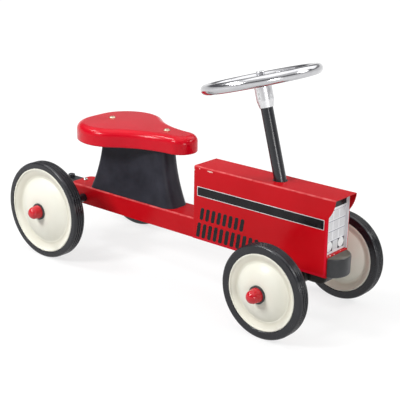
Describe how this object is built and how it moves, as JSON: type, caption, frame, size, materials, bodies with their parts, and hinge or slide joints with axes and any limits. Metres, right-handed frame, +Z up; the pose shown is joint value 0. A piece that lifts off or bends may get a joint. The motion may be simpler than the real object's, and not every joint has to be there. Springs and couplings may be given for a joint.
{
  "type": "ride-on toy tractor",
  "caption": "Child's ride-on tractor with a folded metal frame and hood, a saddle seat, a steering wheel on a leaning column that turns the front axle, and disc wheels.",
  "frame": {"origin": "on the floor below the middle of the tractor's length and width", "axes": "+X forward, +Y to the rider's left, +Z up"},
  "size_m": [0.7024, 0.3476, 0.4436],
  "materials": {
    "red_paint": "gloss",
    "seat_red": "gloss",
    "black_moulding": "fine grain",
    "black_paint": "gloss",
    "chrome_plate": "polished",
    "satin_alloy": "satin",
    "zinc_plate": "zinc plated",
    "grille_white": "satin",
    "bumper_rubber": "satin",
    "tyre_rubber": "matt",
    "disc_cream": "satin",
    "cap_red": "gloss",
    "washer_grey": "satin",
    "bearing_plastic": "satin"
  },
  "bodies": {
    "chassis": {"chassis_channel": "red_paint", "hood": "red_paint", "grille_panel": "grille_white", "front_bumper": "bumper_rubber", "bumper_bolts": "zinc_plate", "seat_pedestal": "black_moulding", "pedestal_screws": "zinc_plate", "seat": "seat_red", "seat_screws": "zinc_plate", "hitch_strap": "black_paint", "hitch_post": "black_paint", "hitch_bolt": "zinc_plate", "hitch_nut": "zinc_plate", "rear_axle": "zinc_plate", "rear_spacers": "black_paint", "rear_washers": "washer_grey", "rear_hub_caps": "cap_red", "upper_column_bush": "bearing_plastic", "lower_column_bearing": "bearing_plastic"},
    "steering": {"steering_column": "black_paint", "front_axle_bracket": "black_paint", "thrust_washer": "bearing_plastic", "column_clip": "zinc_plate", "front_axle": "zinc_plate", "front_spacers": "black_paint", "front_washers": "washer_grey", "front_hub_caps": "cap_red", "steering_rim": "chrome_plate", "steering_spider": "chrome_plate", "steering_boss": "satin_alloy", "boss_set_screw": "zinc_plate", "steering_nut": "chrome_plate"},
    "rear_wheel_left": {"rear_tyre_left": "tyre_rubber", "rear_disc_left": "disc_cream", "rear_bush_left": "bearing_plastic"},
    "rear_wheel_right": {"rear_tyre_right": "tyre_rubber", "rear_disc_right": "disc_cream", "rear_bush_right": "bearing_plastic"},
    "front_wheel_left": {"front_tyre_left": "tyre_rubber", "front_disc_left": "disc_cream", "front_bush_left": "bearing_plastic"},
    "front_wheel_right": {"front_tyre_right": "tyre_rubber", "front_disc_right": "disc_cream", "front_bush_right": "bearing_plastic"}
  },
  "joints": [
    {"name": "steer", "type": "hinge", "parent": "chassis", "child": "steering", "pos_m": [0.25058, 0, 0.07834], "axis": [-0.3007, 0, 0.9537], "range_deg": [-30, 30]},
    {"name": "rear_wheel_left_spin", "type": "hinge", "parent": "chassis", "child": "rear_wheel_left", "pos_m": [-0.25625, 0, 0.095], "axis": [0, 1, 0], "continuous": true},
    {"name": "rear_wheel_right_spin", "type": "hinge", "parent": "chassis", "child": "rear_wheel_right", "pos_m": [-0.25625, 0, 0.095], "axis": [0, 1, 0], "continuous": true},
    {"name": "front_wheel_left_spin", "type": "hinge", "parent": "steering", "child": "front_wheel_left", "pos_m": [0.26536, 0, 0.083], "axis": [0, 1, 0], "continuous": true},
    {"name": "front_wheel_right_spin", "type": "hinge", "parent": "steering", "child": "front_wheel_right", "pos_m": [0.26536, 0, 0.083], "axis": [0, 1, 0], "continuous": true}
  ]
}
